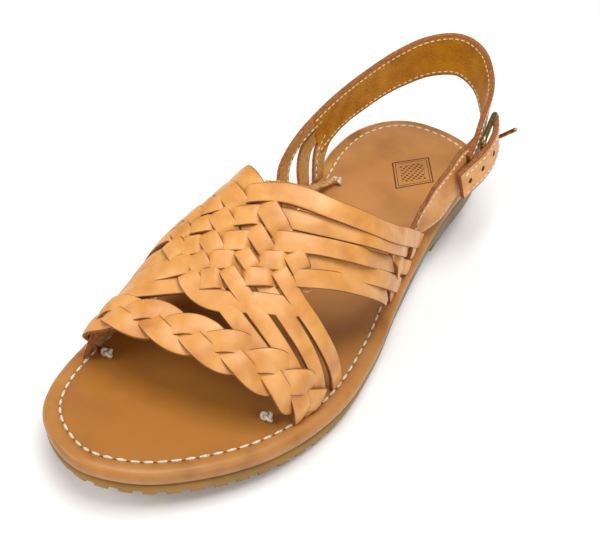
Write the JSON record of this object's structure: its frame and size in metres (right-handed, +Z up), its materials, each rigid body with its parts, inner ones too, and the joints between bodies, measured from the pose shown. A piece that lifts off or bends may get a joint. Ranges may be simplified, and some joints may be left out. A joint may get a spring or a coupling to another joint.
{
  "type": "huarache sandal",
  "caption": "Left huarache sandal: interlaced leather strap vamp, braided toe strap, buckled heel strap, stitched leather footbed and moulded gum rubber sole",
  "frame": {"origin": "On the ground under the ball of the foot, at the middle of the flat spot the forefoot rests on", "axes": "+Y runs from the toe to the heel, +X is the outer (lateral) side of this left shoe, +Z is up"},
  "size_m": [0.1054, 0.2877, 0.0822],
  "materials": {
    "rubber": "matte gum rubber, moulded",
    "wrap_leather": "smooth tan leather, wrapped over the platform",
    "insole_leather": "smooth tan leather, lightly burnished",
    "strap_leather": "vegetable-tanned straps with raw cut edges",
    "metal": "polished brass wire",
    "thread": "waxed cotton thread"
  },
  "bodies": {
    "root": {"outsole": "rubber", "platform": "wrap_leather", "insole": "insole_leather", "vamp": "strap_leather", "quarter_strap": "strap_leather", "heel_strap": "strap_leather", "medial_lace": "strap_leather", "buckle_frame": "metal", "buckle_prong": "metal", "thread_knot_1": "thread", "thread_knot_2": "thread", "thread_knot_3": "thread"}
  },
  "joints": []
}
